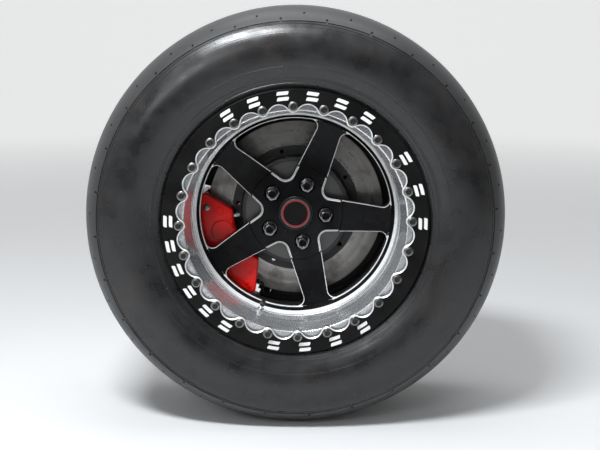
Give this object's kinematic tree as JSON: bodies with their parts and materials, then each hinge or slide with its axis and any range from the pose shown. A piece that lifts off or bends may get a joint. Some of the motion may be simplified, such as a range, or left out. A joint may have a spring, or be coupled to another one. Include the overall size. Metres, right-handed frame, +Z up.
{
  "type": "car wheel corner",
  "caption": "Wide tyre on a five-spoke beadlock wheel, with brake disc, caliper, hub and the knuckle that carries it, turning on the hub bearing.",
  "frame": {"origin": "middle of the knuckle's lower arm bore, below the wheel axis", "axes": "+Y along the wheel axis towards the middle of the car, +X towards the car's tail, +Z up"},
  "size_m": [0.7738, 0.3204, 0.7737],
  "materials": {
    "tyre_rubber": "matt black tyre rubber",
    "polished_alloy": "polished",
    "black_alloy": "gloss black",
    "black_ring": "satin black",
    "dark_steel": "dark plated",
    "bright_steel": "zinc plated",
    "cap_black": "satin black",
    "cap_red": "gloss",
    "disc_iron": "turned friction face",
    "hat_black": "satin black",
    "hub_steel": "machined",
    "knuckle_alloy": "as cast",
    "shield_steel": "dark coated sheet",
    "caliper_red": "gloss red",
    "pad_iron": "dark pad"
  },
  "bodies": {
    "knuckle_body": {"knuckle": "knuckle_alloy", "hub_bearing": "hub_steel", "bearing_bolts": "bright_steel", "dust_shield": "shield_steel", "caliper_outer": "caliper_red", "caliper_inner": "caliper_red", "caliper_bolts": "bright_steel", "pad_outer": "pad_iron", "pad_inner": "pad_iron", "pad_pin": "bright_steel", "bleeder": "bright_steel", "crossover_pipe": "bright_steel"},
    "wheel_body": {"tyre": "tyre_rubber", "rim_barrel": "polished_alloy", "wheel_centre": "black_alloy", "beadlock_ring": "black_ring", "beadlock_bolts": "dark_steel", "lug_nuts": "dark_steel", "centre_cap": "cap_black", "cap_ring": "cap_red", "valve_stem": "dark_steel", "balance_weight": "bright_steel", "brake_disc": "disc_iron", "disc_hat": "hat_black", "wheel_hub": "hub_steel", "wheel_studs": "dark_steel"}
  },
  "joints": [
    {"name": "wheel_spin", "type": "hinge", "parent": "knuckle_body", "child": "wheel_body", "pos_m": [0, 0, 0.12], "axis": [0, 1, 0], "continuous": true}
  ]
}
